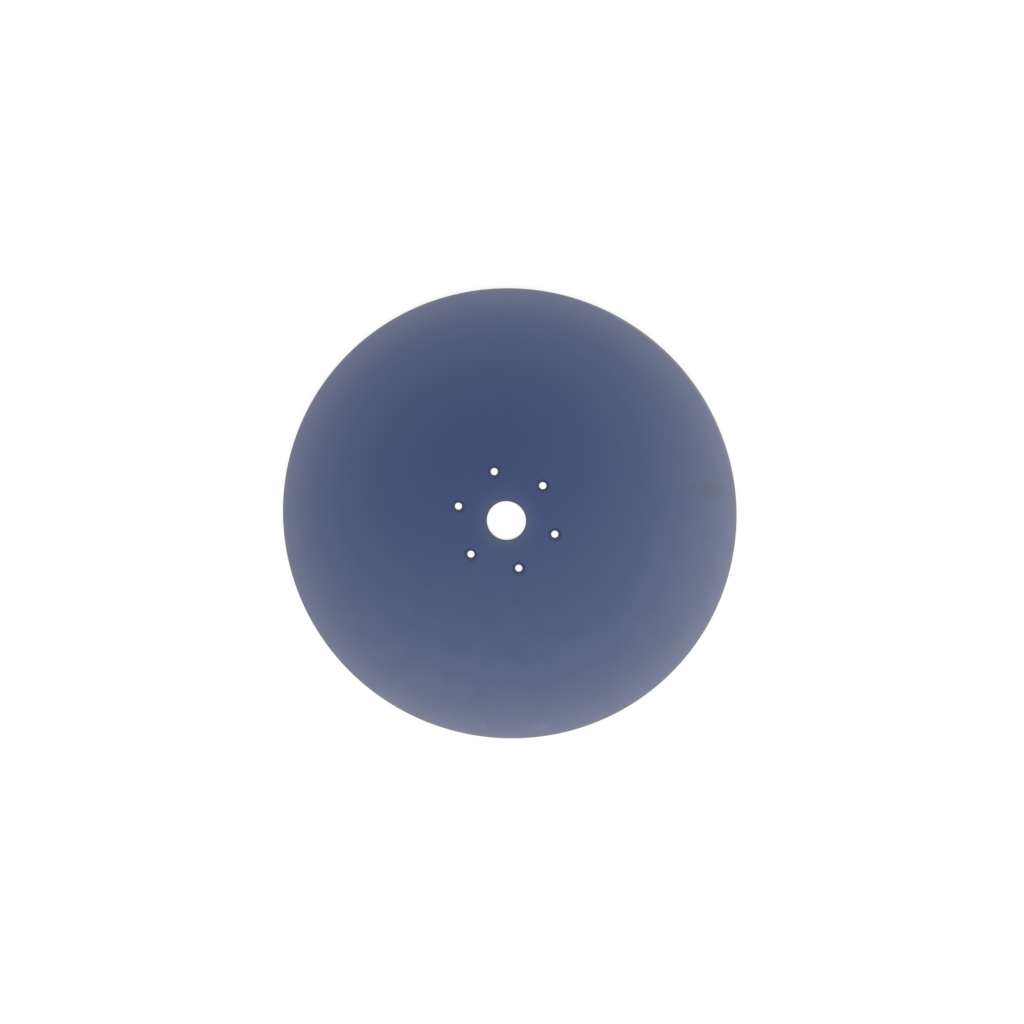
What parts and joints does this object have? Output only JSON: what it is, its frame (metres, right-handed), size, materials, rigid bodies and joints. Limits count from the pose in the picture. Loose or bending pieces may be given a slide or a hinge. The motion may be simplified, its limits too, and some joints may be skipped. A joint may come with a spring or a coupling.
{
  "type": "seed drill disc",
  "caption": "Flat round cutting disc for a seed drill, with a centre bore, a ring of countersunk bolt holes and a ground bevel on its rear edge.",
  "frame": {"origin": "centre of the bore in the plane of the rear face, which seats on the hub", "axes": "+Z along the bore axis, out of the countersunk front face; +X through one of the bolt holes; the disc lies flat on its rear face"},
  "size_m": [0.406, 0.406, 0.004],
  "materials": {
    "disc_paint": "satin slate blue"
  },
  "bodies": {
    "root": {"disc": "disc_paint"}
  },
  "joints": []
}
